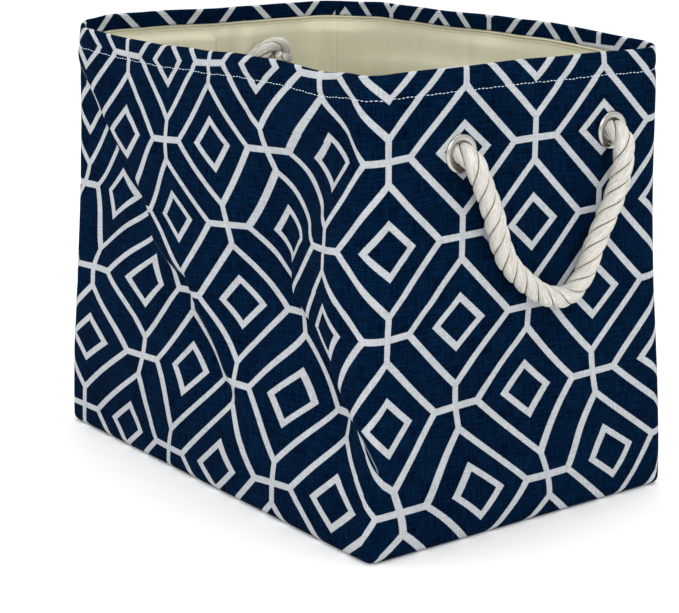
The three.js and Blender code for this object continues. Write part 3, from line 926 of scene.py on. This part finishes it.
def weave(graph, x, y, slub):
    """Height and tone of a plain weave with uneven, slubby threads; x and y are millimetres."""
    warp = (x * (2 * math.pi / THREAD_PITCH)).step("SINE")
    weft = (y * (2 * math.pi / THREAD_PITCH)).step("SINE")
    upright = graph.noise(x / 1.3, y / 15, 3.0, detail=3)
    level = graph.noise(x / 17, y / 1.3, 9.0, detail=3)
    height = warp * weft * 0.35 + upright * slub + level * slub
    return height, upright + level


def printed_cloth():
    graph = Graph("printed_cloth")
    column, row, _ = graph.attribute("print")
    x, y, _ = graph.attribute("cloth")
    beside_first, beside_second, seam = graph.attribute("beside")
    first, second, _ = graph.attribute("creased")
    height, tone = weave(graph, x, y, 0.75)
    stray = graph.noise(x / 1.6, y / 1.6, 5.0) * 0.28
    across, down = column.step("PINGPONG", 1.0), row.step("PINGPONG", 1.0)
    mirrored = (across + down).step("GREATER_THAN", 1.0)
    across = (across + mirrored * (across * -2 + 1)) * COLUMN
    down = (down + mirrored * (down * -2 + 1)) * ROW

    def line_between(reach_across, reach_up):
        """Distance to the straight line that crosses both axes at the given places."""
        size = math.hypot(1 / reach_across, 1 / reach_up)
        return (across / (reach_across * size) + down / (reach_up * size) - 1 / size).step("ABSOLUTE")

    def inked(distance):
        return (distance + stray).band(LINE / 2 - 0.3, LINE / 2 + 0.3)

    arm_across, arm_up = (1 - ARM_ACROSS) * COLUMN, (1 - ARM_UP) * ROW
    lines = [inked(line_between(LOZENGE_ACROSS * COLUMN, LOZENGE_UP * ROW)),
             inked(line_between(arm_across, arm_up)),
             inked(down) * across.step("GREATER_THAN", arm_across),
             inked(across) * down.step("GREATER_THAN", arm_up)]
    line = lines[0].step("MAXIMUM", lines[1]).step("MAXIMUM", lines[2]).step("MAXIMUM", lines[3])
    line = line * seam.step("LESS_THAN", 0.4)
    patch = graph.noise(x / 60, y / 60, 1.0, detail=3)
    shade = graph.ramp(tone * 2.0 + patch * 0.5, -1, 1, 0, 1, "LINEAR")
    navy = graph.mix(shade, rgb(0.0000, 0.0015, 0.0080), rgb(0.0007, 0.0122, 0.0385))
    ivory = graph.mix(shade, rgb(0.35, 0.37, 0.395), rgb(0.49, 0.51, 0.53))
    color = graph.mix(line, navy, ivory)
    # Paler on the underside of the roll at the foot of the wall, where the cloth begins.
    paler_underside = (y + stray * 4).band(-1.0, 1.4) * 0.5
    # Painted highlight: a thin pale blue-grey line along the crest of each sharp fold, patchy along its
    # length.
    crest_highlight_lines = [(beside - 2.2 + stray).step("ABSOLUTE").band(0.3, 1.0) * whole
              for beside, whole in ((beside_first, first), (beside_second, second))]
    painted_crest_highlight = crest_highlight_lines[0].step("MAXIMUM", crest_highlight_lines[1]) * graph.ramp(patch, -0.3, 0.3, 0.2, 0.65)
    color = graph.mix(paler_underside.step("MAXIMUM", painted_crest_highlight), color, rgb(0.25, 0.31, 0.37))
    normal = graph.bump(height, 0.09, 0.8)
    return graph.finish(color, graph.ramp(tone, -1, 1, 1.0, 0.9), normal, Specular_IOR_Level=0.02)


def coated_lining():
    graph = Graph("coated_lining")
    x, y, _ = graph.attribute("cloth")
    height, tone = weave(graph, x, y, 0.4)
    cloud = graph.noise(x / 45, y / 70, 2.0, detail=4)
    streak = graph.noise(x / 6, y / 90, 4.0, detail=2)
    shade = graph.ramp(cloud * 0.6 + tone * 0.12 + streak * 0.25, -1, 1, 0, 1, "LINEAR")
    color = graph.mix(shade, rgb(0.46, 0.44, 0.32), rgb(0.66, 0.64, 0.49))
    crease = graph.noise(x / 16, y / 23, 6.0, detail=3)
    normal = graph.bump(crease, 0.5, 0.5, graph.bump(height, 0.04, 0.6))
    return graph.finish(color, graph.ramp(cloud, -1, 1, 0.70, 0.52), normal, Specular_IOR_Level=0.25)


# light scales every colour of the rope; the knots' copy takes a lower value as painted shade.
def cotton_rope(name, light):
    """Soft yarns that lie nearly along the rope, crossing each strand at a slant."""
    graph = Graph(name)
    around, along, strand = graph.attribute("grain")
    seam = Wire(graph, graph.node("Attribute", attribute_name="seam").outputs["Fac"])
    slant = around + along * (0.45 * 2 * math.pi * ROPE_RADIUS / ROPE_LAY)
    yarn = graph.noise(slant / 0.7, along / 11, strand, detail=3)
    broad = graph.noise(slant / 2.0, along / 16, strand + 5, detail=1)
    fluff = graph.noise(around / 1.3, along / 1.9, strand + 3, detail=4, roughness=0.7)
    shade = graph.ramp(yarn * 1.3 + broad * 0.4 + fluff * 0.9, -1, 1, 0, 1, "LINEAR")
    # Painted shade: the grooves where the strands meet are painted a dark tan, ragged at the edges.
    groove_shade_color, dark, pale = [rgb(*(light * part for part in color)) for color in (
        (0.25, 0.19, 0.12), (0.42, 0.40, 0.35), (1.0, 0.985, 0.92))]
    groove_shade_mask = (seam + fluff * 0.3 + broad * 0.2).band(0.62, 1.02)
    color = graph.mix(groove_shade_mask, groove_shade_color, graph.mix(shade, dark, pale))
    normal = graph.bump(yarn + broad * 0.8, 0.6, 1.0, graph.bump(fluff, 0.55, 0.7))
    return graph.finish(color, 0.97, normal, Specular_IOR_Level=0.03)


def nickel_plate():
    graph = Graph("nickel_plate")
    cloud = graph.blotches(120.0)
    color = graph.mix(cloud, rgb(0.36, 0.345, 0.32), rgb(0.56, 0.54, 0.51))
    scratched = graph.bump(graph.blotches(900.0, 3.0), 0.02, 0.35)
    return graph.finish(color, graph.ramp(cloud, 0.3, 0.7, 0.14, 0.26), scratched, Metallic=1.0)


def sewing_thread(name, dark, light):
    graph = Graph(name)
    place = graph.node("TexCoord").outputs["Object"]
    twist = graph.node("TexWave", {"Vector": place, "Scale": 420.0, "Distortion": 1.5}).outputs["Fac"]
    color = graph.mix(twist, dark, light)
    return graph.finish(color, 0.8, graph.bump(twist, 0.15, 0.6), Specular_IOR_Level=0.1)


def greyboard():
    graph = Graph("greyboard")
    fibre, fleck = graph.blotches(700.0, 5.0), graph.blotches(60.0, 3.0)
    color = graph.mix(fleck, rgb(0.34, 0.27, 0.19), rgb(0.50, 0.42, 0.32))
    color = graph.mix(0.25, color, graph.mix(fibre, rgb(0.2, 0.16, 0.12), rgb(0.7, 0.62, 0.5)))
    return graph.finish(color, 0.95, graph.bump(fibre, 0.2, 0.5), Specular_IOR_Level=0.1)


# ---------- stage ----------
def area_light(name, place, size, power):
    """A soft square light, its place and size in metres, that looks at the bin's middle."""
    data = bpy.data.lights.new(name, "AREA")
    data.shape, data.size, data.energy = "SQUARE", size, power
    aimed(name, data, place, (0, 0, 0.2))


def studio():
    world = bpy.data.worlds.new("studio")
    world.use_nodes = True
    background = world.node_tree.nodes["Background"]
    background.inputs["Color"].default_value = rgb(1, 1, 1)
    background.inputs["Strength"].default_value = 1.0
    bpy.context.scene.world = world
    bpy.context.scene.view_settings.view_transform = "Standard"
    graph = Graph("floor")
    color = graph.mix(graph.blotches(1.5), rgb(0.93, 0.93, 0.93), rgb(0.96, 0.96, 0.96))
    material = graph.finish(color, 0.9, Specular_IOR_Level=0.1)
    far = 30000.0
    corners = [(x, y, -0.2) for x, y in ((-far, -far), (far, -far), (far, far), (-far, far))]
    floor = add_object("floor", corners, [(0, 1, 2, 3)], smooth=False)
    floor.data.materials.append(material)
    area_light("key", (2.2, -1.3, 2.0), 1.6, 30)
    area_light("fill", (-0.6, -2.6, 1.5), 2.0, 10)
    area_light("top", (-0.3, 0.3, 2.6), 2.2, 24)


# ---------- assembly ----------
make_camera()
# The knots sit inside the bin, so their rope is a darker copy of the same cotton: painted shade.
cotton, shaded_cotton = cotton_rope("cotton_rope", 0.94), cotton_rope("knot_rope_painted_shade", 0.80)
metal = nickel_plate()
knots = {}
for grommet in GROMMETS:
    knots[grommet[0]] = knot(*grommet, *KNOT_LIES[grommet[0]], shaded_cotton)
for end in ENDS:
    own = [obj for name, obj in knots.items() if name.startswith(end[0])]
    handle(*end, cotton, own)

printed, coated = printed_cloth(), coated_lining()
wall = outer_wall(printed)
base = outer_base(printed)
lining = lining_wall(coated)
lining_floor = lining_base(coated)
white_thread = sewing_thread("outer_thread", rgb(0.50, 0.56, 0.62), rgb(0.74, 0.79, 0.84))
cream_thread = sewing_thread("inner_thread", rgb(0.50, 0.47, 0.33), rgb(0.68, 0.65, 0.50))
topstitch(white_thread, False, "hem_topstitch")
topstitch(cream_thread, True)
for grommet in GROMMETS:
    eyelet(*grommet, metal)
    washer(*grommet, metal)

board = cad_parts["base_board"]
board.data.materials.clear()
board.data.materials.append(greyboard())

WALL_LENGTH = PERIMETER * MM

studio()
